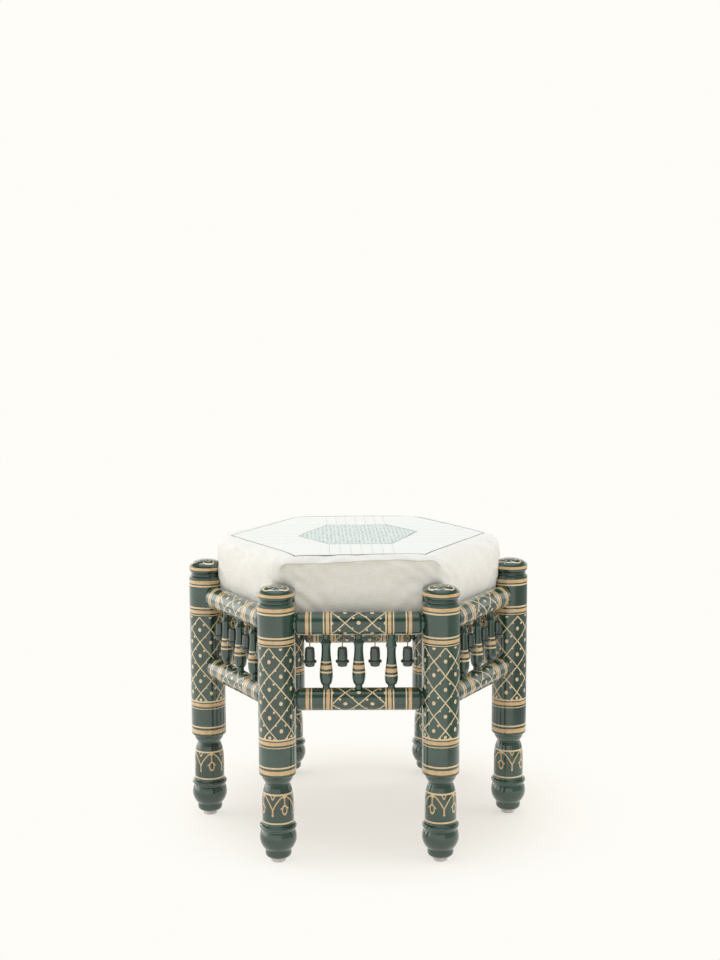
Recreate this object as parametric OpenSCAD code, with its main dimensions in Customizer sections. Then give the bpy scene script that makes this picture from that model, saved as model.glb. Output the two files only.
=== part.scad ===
// Hexagonal stool of turned and lacquered wood. Six legs are joined by six upper and six lower
// rails, with three spindles between the rails on each side. Four small bells hang from wire eyes
// under each upper rail, and an upholstered seat drops in between the legs and rests on the rails.
// The origin is on the floor under the stool's centre, +Z is up and one side faces -Y.

/* [Stool] */
// Side of the hexagon, from leg axis to leg axis
side = 210; // [195:1:260]
// Height of the legs above the floor, glides included
leg_h = 364; // [345:0.5:420]
// Upper rails' axis below the top of the legs
rail_drop = 50; // [42:0.5:60]
// Upper rails' axis above the lower rails' axis
rail_rise = 99; // [90:0.5:115]

/* [Legs] */
// Diameter of the straight bar
leg_d = 48; // [44:0.5:52]
// Rounding at the two ends of the straight bar
bar_edge = 3.4; // [2:0.1:4]
// Rise of the dome
dome_h = 10.3; // [4:0.1:14]
// Upright edge of the cap that carries a painted line
cap_edge_h = 1.6; // [0.5:0.1:4]
// Rounding of the cap's underside
cap_under_r = 7.5; // [5:0.1:10]
// Depth of the groove under the cap
cap_groove = 3; // [1.5:0.1:4]
// Height of the groove under the cap
cap_groove_h = 3.6; // [2.5:0.1:6]
// Diameter of the neck
neck_d = 31.2; // [24:0.2:36]
// Height of the cup between the neck and the bar
cup_h = 11; // [7:0.5:16]
// Length over which the lower leg draws in to the neck
draw_h = 38.6; // [26:0.2:46]
// Length of the lower leg's straight part
shank_h = 12.8; // [6:0.2:20]
// Diameter of the bell-shaped lower leg
shank_d = 41; // [37:0.5:44]
// Diameter of the ring above the ball
ring_d = 48; // [44:0.5:52]
// Height of the ring
ring_h = 7.4; // [5:0.1:10]
// Diameter of the ball
ball_d = 48; // [44:0.5:52]
// Radius of the ball's outline
ball_arc = 22.1; // [20:0.1:26]
// Depth of the groove between ball and ring
ball_groove = 2.4; // [1:0.1:4]
// Diameter of the collar under the ball
collar_d = 34.2; // [26:0.2:36]
// Height of the collar
collar_h = 10.8; // [7:0.1:16]
// Rounding of the collar's lower edge
collar_edge = 5.6; // [1:0.1:6]

/* [Glides] */
// Height of a glide
glide_h = 6; // [4.5:0.1:6]
// Diameter of a glide
glide_d = 19.5; // [16:0.5:22]
// Rounding of a glide's lower edge
glide_edge = 1.8; // [1:0.1:3]
// Diameter of a nail
nail_d = 2.4; // [2:0.1:3]
// Diameter of a nail's head
nail_head_d = 9; // [7:0.1:10]
// Thickness of a nail's head
nail_head_h = 1.4; // [1:0.1:1.8]
// Plastic under a nail's head
glide_floor = 2; // [1.5:0.1:2.5]
// Length of a nail above its head
nail_len = 19; // [15:0.5:24]

/* [Rails] */
// Diameter of an upper rail
upper_d = 30; // [26:0.5:32]
// Diameter of a lower rail
lower_d = 29; // [26:0.5:32]
// Rounding of a rail's shoulders
shoulder_r = 4.6; // [3:0.1:5]
// Straight length from a shoulder to the leg's surface
shoulder_gap = 1; // [0.5:0.1:2]
// Diameter of a rail's tenons
tenon_d = 14; // [10:0.5:15]
// Length of a rail's tenons inside the leg
tenon_len = 14; // [10:0.5:15]

/* [Spindles] */
// Distance between neighbouring spindles, and between neighbouring bells
pitch = 41.6; // [36:0.1:44]
// Diameter of the necks and tenons
spindle_neck_d = 9.4; // [8:0.1:10]
// Length of a spindle's tenons
spindle_tenon_len = 9; // [6:0.5:11]
// Length of the necks that show
spindle_neck_h = 4.5; // [3:0.1:5.5]
// Diameter of the belly
belly_d = 17.2; // [15:0.1:18.5]
// Height of the belly's middle above the lower rail
belly_h = 17; // [14:0.5:20]
// Diameter of the waist
waist_d = 11.4; // [10.4:0.1:13]
// Diameter of the sharp ridge near the top
ridge_d = 14.2; // [13.2:0.1:16]
// Ridge below the upper rail
ridge_drop = 10.5; // [9.5:0.1:12]
// Waist below the ridge
ridge_cove = 8; // [5:0.1:9]
// How much lower the right spindle in front was turned than the others
hand_drop = 4.6; // [0:0.1:5.5]

/* [Bells] */
// Diameter of the wire
wire_d = 1.3; // [1:0.05:1.5]
// Diameter of a rail eye, at the middle of its wire
eye_d = 4.6; // [4.2:0.1:5.4]
// Lowest wire of a rail eye, at its middle, below the rail
eye_drop = 6.6; // [6:0.1:8]
// Width of a bell's loop, at the middle of its wire
loop_w = 4.8; // [4.2:0.1:5.4]
// Straight length of a bell's loop
loop_straight = 3.4; // [2:0.1:5]
// Neck of wire between a bell's loop and its top
loop_neck = 2.8; // [1.5:0.1:3]
// Length of the screwed ends of the wire, in rail and bell
screw_len = 7; // [5:0.5:8]
// Diameter of a bell at its top
bell_top_d = 11.8; // [10:0.1:12]
// Greatest diameter of a bell's body
bell_d = 13.2; // [12:0.1:13.6]
// Diameter of a bell's flange
flange_d = 17.8; // [16:0.1:18.4]
// Thickness of a bell's flange
flange_h = 3.5; // [2.6:0.1:3.8]
// Middle of the flange below the top of the bell
flange_drop = 18.4; // [14:0.1:22]
// Lip below the flange
lip_h = 4.6; // [2.5:0.1:7]

/* [Seat] */
// How far the seat's lower edge lies inside the rails' axes
seat_set_in = 10.4; // [10:0.1:12.4]
// Height of the cushion above its lower edge, at the centre
seat_h = 74.3; // [66:0.1:84]
// Most that a side swells out over its lower edge
side_swell = 4; // [1:0.1:6]
// Crown of the top, from the edge to the centre
crown_h = 3; // [1:0.1:8]
// Rounding of the top edge
top_edge = 14; // [8:0.1:18]
// Gap between the cushion and the legs
leg_gap = 1; // [0.8:0.05:2]
// How far a corner swells out over a leg's cap
cap_swell = 5.5; // [0:0.1:6]
// Thickness of the cover
cover_t = 1.2; // [0.8:0.1:2]
// Width of the cover's edge that is turned under the board
turn_under = 21; // [16:0.5:30]
// Thickness of the seat board
board_t = 12; // [9:0.5:15]

/* [Staples] */
// Staples along each side
staple_count = 6; // [3:1:7]
// Distance between staples
staple_pitch = 24; // [18:0.5:26]
// Length of a staple's crown
staple_w = 10; // [8:0.5:12]
// Length of a staple's legs
staple_leg = 8; // [6:0.5:10]
// Width of a staple's wire
staple_wire_w = 1.2; // [0.8:0.1:2]
// Thickness of a staple's wire
staple_wire_t = 0.6; // [0.4:0.1:1]

/* [Fits] */
// Gap round a glued tenon, and between a rail's end and its leg
tenon_gap = 0.1; // [0.05:0.01:0.2]
// Gap at the bottom of a blind hole
hole_end = 0.5; // [0.3:0.1:1]
// Gap round a screwed wire or a nail
wire_gap = 0.05; // [0.03:0.01:0.08]
// Gap between a bell's loop and its rail eye
link_gap = 0.1; // [0.08:0.01:0.2]
// Gap between the seat's parts, and between the seat and the rails
soft_gap = 0.3; // [0.25:0.01:0.4]

/* [Hidden] */
$fn = 48;
leg_r = leg_d / 2;
leg_names = ["right", "back_right", "back_left", "left", "front_left", "front_right"];
side_names = ["back_right", "back", "back_left", "front_left", "front", "front_right"];
corners = [0:5];
bells = [0:3];

upper_z = leg_h - rail_drop;
lower_z = upper_z - rail_rise;
rail_apothem = side * cos(30);
// From the middle of a rail to the surface of a leg
rail_reach = side / 2 - leg_r;

lacquer = [0.16, 0.24, 0.21];
brass = [0.70, 0.55, 0.30];
steel = [0.62, 0.62, 0.63];
plastic = [0.80, 0.81, 0.82];
plywood = [0.76, 0.62, 0.43];
foam = [0.93, 0.88, 0.68];
cloth = [0.90, 0.88, 0.84];

// Points along an arc about c, from angle a0 to angle a1
function arc(c, r, a0, a1, n = 6) =
    [for (i = [0:n]) let (a = a0 + (a1 - a0) * i / n) [c[0] + r * cos(a), c[1] + r * sin(a)]];

// Puts its child at a corner of the hexagon, with local +X pointing away from the centre
module at_leg(i) {
    rotate(60 * i) translate([side, 0, 0]) children();
}

// Puts its child on a side of the hexagon, with local -Y pointing outwards
module at_side(i) {
    rotate(60 * i + 120) translate([0, -rail_apothem, 0]) children();
}

// Places of the three spindles and the four bells along a side
spindle_x = [-pitch, 0, pitch];
bell_x = [for (k = bells) (k - 1.5) * pitch];

// Heights of the leg's parts, from the floor up to the bar
collar_step = 0.8;
ball_low = acos(1 - (ball_d / 2 - collar_d / 2 - collar_step) / ball_arc);
ball_high = acos(1 - ball_groove / ball_arc);
ball_c = [ball_d / 2 - ball_arc, glide_h + collar_h + collar_step + ball_arc * sin(ball_low)];
ring_z = ball_c[1] + ball_arc * sin(ball_high) + ring_h * 0.7;
shank_z = ring_z + ring_h * 0.7;
shoulder_z = shank_z + shank_h;
neck_z = shoulder_z + draw_h;
cup_z = neck_z + cup_h;
bar_z = cup_z + bar_edge;
// Heights of the cap's parts, from the top down to the bar
groove_r = leg_r - cap_groove;
cap_low = acos(1 - cap_groove / cap_under_r);
cap_c = [leg_r - cap_under_r, leg_h - dome_h - cap_edge_h];
bar_top = cap_c[1] - cap_under_r * sin(cap_low) - cap_groove_h;
bead_r = cap_groove_h / 4;

// Outline of a leg from the collar up to the neck, as [radius, height]
leg_foot = concat(
    [[0, glide_h]],
    arc([collar_d / 2 - collar_edge, glide_h + collar_edge], collar_edge, -90, 0),
    [[collar_d / 2, glide_h + collar_h]],
    arc(ball_c, ball_arc, -ball_low, ball_high, 16),
    arc([(ring_d - ring_h) / 2, ring_z], ring_h / 2, -60, 80, 8),
    [[shank_d / 2, shank_z]],
    [for (i = [0:10]) let (t = i / 10)
        [neck_d / 2 + (shank_d - neck_d) / 2 * (1 - pow(t, 4)), shoulder_z + draw_h * t]]
);
// From the neck up to the top: a cup, the bar, the groove with its bead, and the cap
cup_r = leg_r - bar_edge;
leg_head = concat(
    [for (i = [0:7]) let (u = 1 - i / 7)
        [neck_d / 2 + (cup_r - neck_d / 2) * (1 - pow(u, 1.6)), cup_z - cup_h * 0.95 * u]],
    arc([cup_r, bar_z], bar_edge, -90, 0),
    arc([cup_r, bar_top - bar_edge], bar_edge, 0, acos(1 - min(cap_groove, bar_edge) / bar_edge)),
    arc([groove_r - 0.3, bar_top + cap_groove_h * 0.6], bead_r, -70, 70, 4),
    arc(cap_c, cap_under_r, -cap_low, 0, 9),
    [for (i = [0:12]) let (a = 7.5 * i) [leg_r * cos(a), leg_h - dome_h * (1 - sin(a))]]
);

module leg() {
    color(lacquer)
    difference() {
        rotate_extrude() polygon(concat(leg_foot, leg_head));
        for (z = [lower_z, upper_z], a = [-120, 120])
            translate([0, 0, z]) rotate(a) translate([leg_r - tenon_len - hole_end, 0, 0])
                rotate([0, 90, 0]) cylinder(d = tenon_d + 2 * tenon_gap, h = tenon_len + 2);
        translate([0, 0, glide_h - 1])
            cylinder(d = nail_d + 2 * wire_gap, h = nail_len);
    }
}

// A turned rail of diameter d along local X. Its ends are cut to fit round the legs.
module rail(d) {
    shoulder_x = rail_reach - shoulder_gap - shoulder_r;
    half = concat(
        arc([d / 2 - shoulder_r, shoulder_x], shoulder_r, 0, 90, 8),
        [[d / 2 - shoulder_r, side / 2], [0, side / 2]]
    );
    difference() {
        for (m = [0, 1]) mirror([m, 0, 0]) rotate([0, 90, 0])
            rotate_extrude() polygon(concat([[0, 0], [d / 2, 0]], half));
        for (m = [-1, 1])
            translate([m * side / 2, 0, -d]) cylinder(r = leg_r + tenon_gap, h = 2 * d);
    }
    for (m = [0, 1]) mirror([m, 0, 0]) translate([rail_reach - 2, 0, 0])
        rotate([0, 90, 0]) cylinder(d = tenon_d, h = tenon_len + 2);
}

module rail_upper() {
    translate([0, 0, upper_z])
    color(lacquer)
    difference() {
        rail(upper_d);
        for (x = spindle_x) translate([x, 0, -upper_d]) spindle_hole(upper_d / 2);
        for (x = bell_x) translate([x, 0, -upper_d])
            cylinder(d = wire_d + 2 * wire_gap, h = upper_d / 2 + screw_len + hole_end);
    }
}

module rail_lower() {
    translate([0, 0, lower_z])
    color(lacquer)
    difference() {
        rail(lower_d);
        for (x = spindle_x) translate([x, 0, lower_d]) mirror([0, 0, 1]) spindle_hole(lower_d / 2);
    }
}

// A hole that starts the given distance outside the rail's surface
module spindle_hole(start) {
    cylinder(d = spindle_neck_d + 2 * tenon_gap, h = start + spindle_tenon_len + hole_end);
}

// Outline of a spindle above the top of the lower rail
module spindle(drop = 0) {
    neck_r = spindle_neck_d / 2;
    long = rail_rise - (upper_d + lower_d) / 2;
    ridge_z = long - ridge_drop - drop;
    belly_z = belly_h - drop;
    waist_z = ridge_z - ridge_cove;
    rotate_extrude() polygon(concat(
        [[0, -spindle_tenon_len], [neck_r, -spindle_tenon_len]],
        [for (i = [0:6]) let (a = 15 * i)
            [neck_r + (belly_d / 2 - neck_r) * sin(a),
             spindle_neck_h + (belly_z - spindle_neck_h) * (1 - cos(a))]],
        [for (i = [1:8]) let (t = i / 8)
            [waist_d / 2 + (belly_d - waist_d) / 4 * (1 + cos(180 * t)),
             belly_z + (waist_z - belly_z) * t]],
        [for (i = [1:5]) let (a = 18 * i)
            [waist_d / 2 + (ridge_d - waist_d) / 2 * (1 - cos(a)), waist_z + ridge_cove * sin(a)]],
        [for (i = [0:4]) let (t = i / 4)
            [neck_r + (ridge_d / 2 - neck_r) * (1 - t),
             ridge_z + 0.8 + (ridge_drop + drop - 0.8 - spindle_neck_h) * t]],
        [[neck_r, long + spindle_tenon_len], [0, long + spindle_tenon_len]]
    ));
}

module spindles(drop = 0) {
    color(lacquer)
    for (x = spindle_x) translate([x, 0, lower_z + lower_d / 2]) spindle(x > 0 ? drop : 0);
}

// Height of the pivot at which a bell hangs: the lowest wire of its rail eye
pivot_z = upper_z - upper_d / 2 - eye_drop;

// A ring of wire that stands in the plane of the side, with a screwed end up into the rail
module rail_eye() {
    translate([0, 0, pivot_z + eye_d / 2]) {
        rotate([90, 0, 0]) rotate_extrude() translate([eye_d / 2, 0]) circle(d = wire_d);
        translate([0, 0, eye_d / 2]) cylinder(d = wire_d, h = eye_drop - eye_d + screw_len);
    }
}

module rail_eyes() {
    color(brass)
    for (i = corners) at_side(i) for (x = bell_x) translate([x, 0, 0]) rail_eye();
}

// Lengths below the pivot: the middle of the loop's upper bend, of its lower bend, and the bell
loop_top = loop_w / 2 - wire_d - link_gap;
loop_low = loop_top + loop_straight;
bell_drop = loop_low + loop_w / 2 + loop_neck;

// A loop of wire across the plane of the side, linked through the rail eye
module bell_loop() {
    color(brass) {
        rotate([90, 0, 90]) {
            translate([0, -loop_top, 0]) rotate_extrude(angle = 180)
                translate([loop_w / 2, 0]) circle(d = wire_d);
            translate([0, -loop_low, 0]) rotate(180) rotate_extrude(angle = 180)
                translate([loop_w / 2, 0]) circle(d = wire_d);
        }
        for (m = [-1, 1]) translate([0, m * loop_w / 2, -loop_low])
            cylinder(d = wire_d, h = loop_straight);
        translate([0, 0, -bell_drop - screw_len])
            cylinder(d = wire_d, h = screw_len + loop_neck);
    }
}

// The turned bell below its own top
module bell_body() {
    body_edge = 1.8;
    rim_r = flange_h / 2;
    lip_d = bell_d - 0.8;
    lip_edge = 1.6;
    bell_h = flange_drop + rim_r + lip_h;
    flange_c = [flange_d / 2 - rim_r, -flange_drop];
    color(lacquer)
    difference() {
        rotate_extrude() polygon(concat(
            [[0, 0]],
            arc([bell_top_d / 2 - body_edge, -body_edge], body_edge, 90, 0, 4),
            [for (i = [1:6]) let (t = i / 6)
                [bell_top_d / 2 + (bell_d - bell_top_d) / 2 * sin(140 * t),
                 -body_edge - (flange_drop - rim_r - body_edge) * t]],
            arc(flange_c, rim_r, 90, -90, 8),
            arc([lip_d / 2 - lip_edge, lip_edge - bell_h], lip_edge, 0, -90, 5),
            [[0, -bell_h]]
        ));
        translate([0, 0, -screw_len - hole_end])
            cylinder(d = wire_d + 2 * wire_gap, h = screw_len + hole_end + 1);
    }
}

module bell(k) {
    translate([bell_x[k], 0, pivot_z]) {
        bell_loop();
        translate([0, 0, -bell_drop]) bell_body();
    }
}

module glides() {
    outline = concat(
        [[0, 0]],
        arc([glide_d / 2 - glide_edge, glide_edge], glide_edge, -90, 0),
        [[glide_d / 2, glide_h], [0, glide_h]]
    );
    color(plastic)
    for (i = corners) at_leg(i) difference() {
        rotate_extrude() polygon(outline);
        translate([0, 0, glide_floor - wire_gap])
            cylinder(d = nail_head_d + 2 * wire_gap, h = nail_head_h + 2 * wire_gap);
        translate([0, 0, glide_floor]) cylinder(d = nail_d + 2 * wire_gap, h = glide_h);
    }
}

module glide_nails() {
    color(steel)
    for (i = corners) at_leg(i) translate([0, 0, glide_floor]) {
        cylinder(d = nail_head_d, h = nail_head_h);
        cylinder(d = nail_d, h = nail_head_h + nail_len - glide_h + glide_floor);
    }
}

// The seat's lower edge meets the inner curve of the upper rails
seat_apothem = rail_apothem - seat_set_in;
seat_z = upper_z + sqrt(pow(upper_d / 2 + soft_gap, 2) - pow(seat_set_in, 2));
// Radius, about a leg's axis, of the hollow that the leg presses into the cushion's corner
hollow_r = leg_r + leg_gap;

// Outline of the seat at one level: six sides at the given apothem, hollowed at the legs
flat_steps = 3;
hollow_steps = 4;
function seat_ring(apothem, hollow) =
    let (
        lift = rail_apothem - apothem,
        half = side / 2 - sqrt(pow(hollow, 2) - pow(lift, 2)),
        turn = acos(lift / hollow)
    )
    [for (i = corners) each concat(
        [for (k = [0:flat_steps]) spin([half * (2 * k / flat_steps - 1), -apothem], 60 * i + 120)],
        [for (k = [1:hollow_steps])
            let (a = 30 + (turn - 30) * (1 - 2 * k / (hollow_steps + 1)))
            spin([side / 2 - hollow * sin(a), hollow * cos(a) - rail_apothem], 60 * i + 120)]
    )];
function spin(p, a) = [p[0] * cos(a) - p[1] * sin(a), p[0] * sin(a) + p[1] * cos(a)];

// The cushion's levels from its lower edge to the top: swell of the side, height, swell of the
// corner over its cap, and the outward direction. It stands off the caps up to their rims
edge_z = seat_h - crown_h;
over_rims = cap_c[1] + leg_gap - seat_z;
over_caps = leg_h + leg_gap - seat_z;
seat_levels = concat(
    [
        [0, 0, 0, [1, -1]],
        [side_swell * 0.3, seat_h * 0.06, 0, [1, 0]],
        [side_swell * 0.8, over_rims * 0.65, 0, [1, 0]],
        [side_swell, over_rims, 0, [1, 0]],
        [side_swell, over_caps, cap_swell * 0.6, [1, 0]]
    ],
    [for (a = [0:30:90]) [
        side_swell * 0.8 - top_edge * (1 - cos(a)),
        edge_z - top_edge * (1 - sin(a)),
        cap_swell - top_edge * (1 - cos(a)),
        [cos(a * 0.9), sin(a * 0.9)]
    ]]
);
// Rings of the crown inside the top edge, as shares of the way out from the centre
crown_rings = [0.7, 0.35];
crown_from = seat_apothem + seat_levels[8][0];

function seat_level(l, inset) = with_z(
    seat_ring(seat_apothem + l[0] - inset * l[3][0], hollow_r - l[2] + inset * l[3][0]),
    seat_z + l[1] - inset * l[3][1]);
function crown_ring(s, inset) = with_z(
    [for (p = seat_ring(crown_from, hollow_r - cap_swell + top_edge)) p * s],
    seat_z + edge_z + crown_h * (1 - s * s) - inset);
function with_z(ring, z) = [for (p = ring) [p[0], p[1], z]];

// Rings from the lower edge to the crown, for a surface that lies the given depth inside the cover
function seat_rings(inset) = concat(
    [for (l = seat_levels) seat_level(l, inset)],
    [for (s = crown_rings) crown_ring(s, inset)]
);
function seat_pole(inset) = [0, 0, seat_z + seat_h - inset];

// A closed solid through rings of equal counts, with a point at each end
module lofted(first, rings, last) {
    n = len(rings[0]);
    m = len(rings);
    polyhedron(
        points = concat([first], [for (r = rings) each r], [last]),
        faces = concat(
            [for (j = [0:n - 1]) [0, 1 + j, 1 + (j + 1) % n]],
            [for (i = [0:m - 2]) for (j = [0:n - 1])
                let (a = 1 + i * n, b = a + n, k = (j + 1) % n)
                each [[a + j, b + k, a + k], [a + j, b + j, b + k]]],
            [for (j = [0:n - 1]) [1 + (m - 1) * n + (j + 1) % n, 1 + (m - 1) * n + j, 1 + m * n]]
        )
    );
}

// The cover: over the top, down the sides, and turned under the board
module seat_cover() {
    outer = seat_rings(0);
    inner = seat_rings(cover_t);
    lip = seat_apothem - turn_under;
    lip_low = with_z(seat_ring(lip, hollow_r + turn_under), seat_z);
    lip_high = with_z(seat_ring(lip, hollow_r + turn_under), seat_z + cover_t);
    color(cloth)
    lofted(seat_pole(cover_t), concat(reversed(inner), [lip_high, lip_low], outer), seat_pole(0));
}
function reversed(v) = [for (i = [len(v) - 1:-1:0]) v[i]];

// The foam: from the board's top to the cover
module seat_foam() {
    inset = cover_t + soft_gap;
    low = seat_z + cover_t + soft_gap + board_t + soft_gap;
    rings = seat_rings(inset);
    base = with_z(seat_ring(seat_apothem + side_swell * 0.6 - inset, hollow_r + inset), low);
    color(foam)
    lofted([0, 0, low], concat([base], [for (i = [2:len(rings) - 1]) rings[i]]), seat_pole(inset));
}

module seat_board() {
    inset = cover_t + soft_gap;
    color(plywood)
    translate([0, 0, seat_z + inset]) linear_extrude(board_t) difference() {
        circle(r = (seat_apothem - inset) / cos(30), $fn = 6);
        for (i = corners) rotate(60 * i) translate([side, 0]) circle(r = hollow_r + inset);
    }
}

module staple() {
    low = [-staple_w / 2, -staple_wire_w / 2, -staple_wire_t];
    translate(low) cube([staple_w, staple_wire_w, staple_wire_t]);
    for (m = [0, 1]) mirror([m, 0, 0])
        translate(low) cube([staple_wire_t, staple_wire_w, staple_leg + staple_wire_t]);
}

module seat_staples() {
    color(steel)
    for (i = corners) rotate(60 * i + 120) translate([0, turn_under * 0.55 - seat_apothem, seat_z])
        for (k = [0:staple_count - 1])
            translate([(k - (staple_count - 1) / 2) * staple_pitch, 0, 0]) staple();
}

for (i = corners) {
    at_leg(i) leg();
    at_side(i) rail_upper();
    at_side(i) rail_lower();
    at_side(i)
        spindles(side_names[i] == "front" ? hand_drop : 0);
    for (k = bells)
        at_side(i) bell(k);
}
rail_eyes();
glides();
glide_nails();
seat_board();
seat_foam();
seat_cover();
seat_staples();
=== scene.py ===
import bpy
import bmesh
import math
from mathutils import Matrix, Vector, noise


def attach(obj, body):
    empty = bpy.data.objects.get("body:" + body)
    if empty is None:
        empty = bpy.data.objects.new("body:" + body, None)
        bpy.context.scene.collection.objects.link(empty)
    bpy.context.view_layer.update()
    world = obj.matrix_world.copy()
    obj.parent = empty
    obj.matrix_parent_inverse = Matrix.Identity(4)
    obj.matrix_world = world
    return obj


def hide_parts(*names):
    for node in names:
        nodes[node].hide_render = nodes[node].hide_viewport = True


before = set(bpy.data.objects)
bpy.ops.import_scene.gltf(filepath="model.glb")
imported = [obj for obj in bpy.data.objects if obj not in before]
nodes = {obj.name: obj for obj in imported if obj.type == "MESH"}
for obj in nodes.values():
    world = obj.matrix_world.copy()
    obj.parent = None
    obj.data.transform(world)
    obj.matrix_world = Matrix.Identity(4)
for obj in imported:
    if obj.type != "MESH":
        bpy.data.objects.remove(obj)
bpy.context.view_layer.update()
print("frame loaded,", len(nodes), "nodes")

mm = 0.001
stool = {
    "side": 0.210,                    # centre to a leg's axis, and a side of the hexagon
    "railAxis": 0.181865,             # centre to a rail's axis
    "upperZ": 0.314, "lowerZ": 0.215,             # heights of the rails' axes
    "legR": 0.024, "legTop": 0.3640, "capRim": 0.3537,
}
legNames = ["right", "back_right", "back_left", "left", "front_left", "front_right"]
sideNames = ["back_right", "back", "back_left", "front_left", "front", "front_right"]


# Sockets as expressions

def calc(operation, *values):
    wire = next(v for v in values if isinstance(v, Wire))
    return wire.node("Math", {"operation": operation}, dict(enumerate(values)))


class Wire:                           # a socket, so that Python expressions add Math nodes
    def __init__(self, tree, socket=None):
        self.tree, self.socket = tree, socket

    def node(self, kind, settings, values, out=0):
        made = self.tree.nodes.new("ShaderNode" + kind)
        for key, value in settings.items():
            if key == "stops":
                ramp = made.color_ramp
                while len(ramp.elements) > 1:
                    ramp.elements.remove(ramp.elements[-1])
                ramp.elements[0].position, ramp.elements[0].color = value[0]
                for place, colour in value[1:]:
                    ramp.elements.new(place).color = colour
            elif key == "interpolation":
                made.color_ramp.interpolation = value
            else:
                setattr(made, key, value)
        for key, value in values.items():
            if isinstance(value, Wire):
                self.tree.links.new(value.socket, made.inputs[key])
            else:
                made.inputs[key].default_value = value
        return Wire(self.tree, made.outputs[out])

    def __add__(self, other):
        return calc("ADD", self, other)

    def __radd__(self, other):
        return calc("ADD", other, self)

    def __sub__(self, other):
        return calc("SUBTRACT", self, other)

    def __rsub__(self, other):
        return calc("SUBTRACT", other, self)

    def __mul__(self, other):
        return calc("MULTIPLY", self, other)

    def __rmul__(self, other):
        return calc("MULTIPLY", other, self)

    def __truediv__(self, other):
        return calc("DIVIDE", self, other)

    def __rtruediv__(self, other):
        return calc("DIVIDE", other, self)

    def __pow__(self, other):
        return calc("POWER", self, other)

    def __abs__(self):
        return calc("ABSOLUTE", self)

    def __lt__(self, other):
        return calc("LESS_THAN", self, other)

    def __gt__(self, other):
        return calc("GREATER_THAN", self, other)


def low(*values):
    out = values[0]
    for v in values[1:]:
        out = calc("MINIMUM", out, v)
    return out


def high(*values):
    out = values[0]
    for v in values[1:]:
        out = calc("MAXIMUM", out, v)
    return out


def sine(value):
    return calc("SINE", value)


def part(value):                      # fraction, from -0.5 to 0.5, round the nearest whole number
    return calc("FRACT", value + 0.5) - 0.5


def reach(x, y):
    return calc("SQRT", x * x + y * y)


def ramp(value, start, end, bottom=0.0, top=1.0):
    return value.node("MapRange", {"interpolation_type": "SMOOTHSTEP"},
                      {0: value, 1: start, 2: end, 3: bottom, 4: top})


def within(distance, half, soft=0.15):    # 1 where a distance is under half, in the distance's unit
    return ramp(distance, half + soft, half - soft)


def mixed(mask, a, b):
    return mask.node("Mix", {"data_type": "RGBA"}, {0: mask, 6: a, 7: b}, out=2)


def grain(wire, place, scale, detail=2.0, rough=0.5):
    return wire.node("TexNoise", {}, {"Vector": place, "Scale": scale, "Detail": detail, "Roughness": rough})


def moved(place, offset):
    return place.node("VectorMath", {"operation": "SUBTRACT"}, {0: place, 1: offset})


def turned(place, angle):
    return place.node("VectorRotate", {"rotation_type": "Z_AXIS"}, {"Vector": place, "Angle": angle})


def stretched(place, scale):
    return place.node("Mapping", {}, {"Vector": place, "Scale": scale})


def split(place):
    made = place.tree.nodes.new("ShaderNodeSeparateXYZ")
    place.tree.links.new(place.socket, made.inputs[0])
    return [Wire(place.tree, s) for s in made.outputs]


def material(name):
    made = bpy.data.materials.new(name)
    made.use_nodes = True
    made.node_tree.nodes.clear()
    wire = Wire(made.node_tree)
    return made, wire, wire.node("TexCoord", {}, {}, out="Object")


def output(wire, shader, kind="Material"):
    out = wire.tree.nodes.new("ShaderNodeOutput" + kind)
    wire.tree.links.new(shader.socket, out.inputs["Surface"])


def shaded(wire, sockets, constants):     # the Principled shader and the output
    output(wire, wire.node("BsdfPrincipled", {}, {**sockets, **constants}))


def raised(wire, height, strength=1.0):
    return wire.node("Bump", {}, {"Height": height, "Distance": 1.0, "Strength": strength})


def colour(r, g, b):                  # an sRGB colour, 0 to 255, as Blender's linear values
    def one(c):
        c /= 255
        return c / 12.92 if c <= 0.04045 else ((c + 0.055) / 1.055) ** 2.4
    return (one(r), one(g), one(b), 1.0)


def clearSelection():
    if bpy.context.object and bpy.context.object.mode != "OBJECT":
        bpy.ops.object.mode_set(mode="OBJECT")
    bpy.ops.object.select_all(action="DESELECT")


def makeActive(piece):
    clearSelection()
    piece.select_set(True)
    bpy.context.view_layer.objects.active = piece


# Camera, lamps and floor

camera = {
    "place": (-0.0027, -2.1607, 0.7675), "pitch": 7.764, "yaw": 0.15, "roll": -0.215,
    "lens": 59.61, "sensor": 36,
}


def addCamera():
    data = bpy.data.cameras.new("camera")
    data.sensor_width, data.sensor_fit, data.lens = camera["sensor"], "AUTO", camera["lens"]
    eye = bpy.data.objects.new("camera", data)
    bpy.context.scene.collection.objects.link(eye)
    turn = (Matrix.Rotation(-math.radians(camera["yaw"]), 4, "Z")
            @ Matrix.Rotation(math.radians(90 - camera["pitch"]), 4, "X")
            @ Matrix.Rotation(math.radians(camera["roll"]), 4, "Z"))
    eye.matrix_world = Matrix.Translation(camera["place"]) @ turn
    bpy.context.scene.camera = eye


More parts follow.
